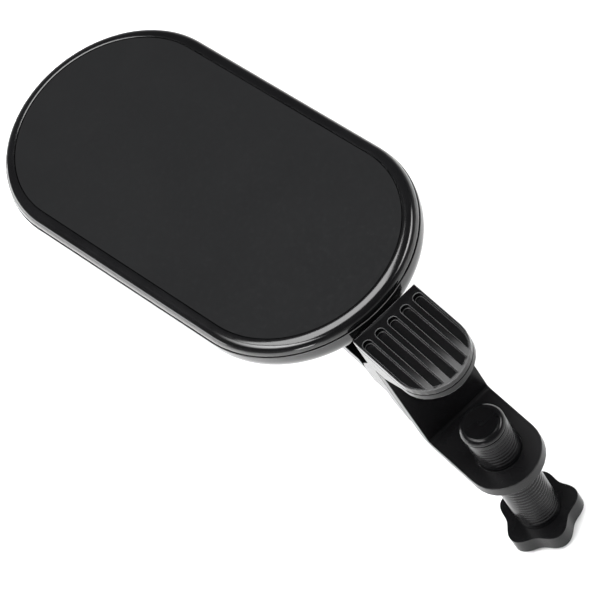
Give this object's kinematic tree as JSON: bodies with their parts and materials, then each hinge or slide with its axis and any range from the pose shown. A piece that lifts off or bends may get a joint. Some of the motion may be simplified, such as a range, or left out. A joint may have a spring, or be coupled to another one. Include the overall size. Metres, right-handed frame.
{
  "type": "handlebar mirror",
  "caption": "Long round-ended rear-view mirror on a ball joint, carried by a C-clamp with a ribbed jaw, coarse clamping screw and lobed hand knob.",
  "frame": {"origin": "centre of the upper jaw's clamping face, on the axis of the clamping screw", "axes": "+Z out of the mirror's glass, so the clamping face looks along -Z; +X away from the mirror head; the handlebar runs along Y"},
  "size_m": [0.1957, 0.0865, 0.097],
  "materials": {
    "mirror_face": "silvered glass",
    "foam": "foam",
    "gloss_black": "gloss",
    "satin_black": "satin",
    "strap_black": "powder coat",
    "rubber_black": "matte",
    "screw_black": "satin",
    "nylon": "satin",
    "zinc_steel": "zinc plated"
  },
  "bodies": {
    "clamp": {"upper_jaw": "gloss_black", "jaw_pad": "gloss_black", "jaw_liner": "rubber_black", "clamp_strap": "strap_black", "strap_screw_1": "zinc_steel", "strap_screw_2": "zinc_steel", "ball_stud": "zinc_steel", "friction_washer": "nylon", "flat_washer": "zinc_steel", "spring_washer": "zinc_steel", "lock_nut": "zinc_steel"},
    "upper_cup": {"upper_cup": "nylon"},
    "lower_cup": {"lower_cup": "nylon"},
    "head": {"mirror_glass": "mirror_face", "glass_backing": "foam", "bezel": "gloss_black", "rear_housing": "gloss_black", "housing_screw_1": "zinc_steel", "housing_screw_2": "zinc_steel", "housing_screw_3": "zinc_steel", "housing_screw_4": "zinc_steel", "housing_screw_5": "zinc_steel", "housing_screw_6": "zinc_steel", "socket_retainer": "satin_black", "retainer_screw_1": "zinc_steel", "retainer_screw_2": "zinc_steel", "retainer_screw_3": "zinc_steel"},
    "foot": {"pressure_foot": "screw_black"},
    "screw": {"clamp_screw": "screw_black", "hand_knob": "screw_black", "knob_screw": "zinc_steel", "knob_cap": "satin_black"}
  },
  "joints": [
    {"name": "head_nod", "type": "hinge", "parent": "clamp", "child": "upper_cup", "pos_m": [-0.051, 0, -0.0033], "axis": [0, 1, 0], "range_deg": [-14, 1.5]},
    {"name": "head_roll", "type": "hinge", "parent": "upper_cup", "child": "lower_cup", "pos_m": [-0.051, 0, -0.0033], "axis": [1, 0, 0], "range_deg": [-8, 8]},
    {"name": "head_swivel", "type": "hinge", "parent": "lower_cup", "child": "head", "pos_m": [-0.051, 0, -0.0033], "axis": [0, 0, 1], "range_deg": [-23, 8.5]},
    {"name": "foot_travel", "type": "slide", "parent": "clamp", "child": "foot", "axis": [0, 0, 1], "range_m": [-0.012, 0.0265]},
    {"name": "screw_spin", "type": "hinge", "parent": "foot", "child": "screw", "pos_m": [0, 0, -0.05], "axis": [0, 0, 1], "range_deg": [-2880, 6360]}
  ],
  "couplings": [
    {"joint": "foot_travel", "follows": "screw_spin", "m_per_rad": 0.00023873}
  ]
}
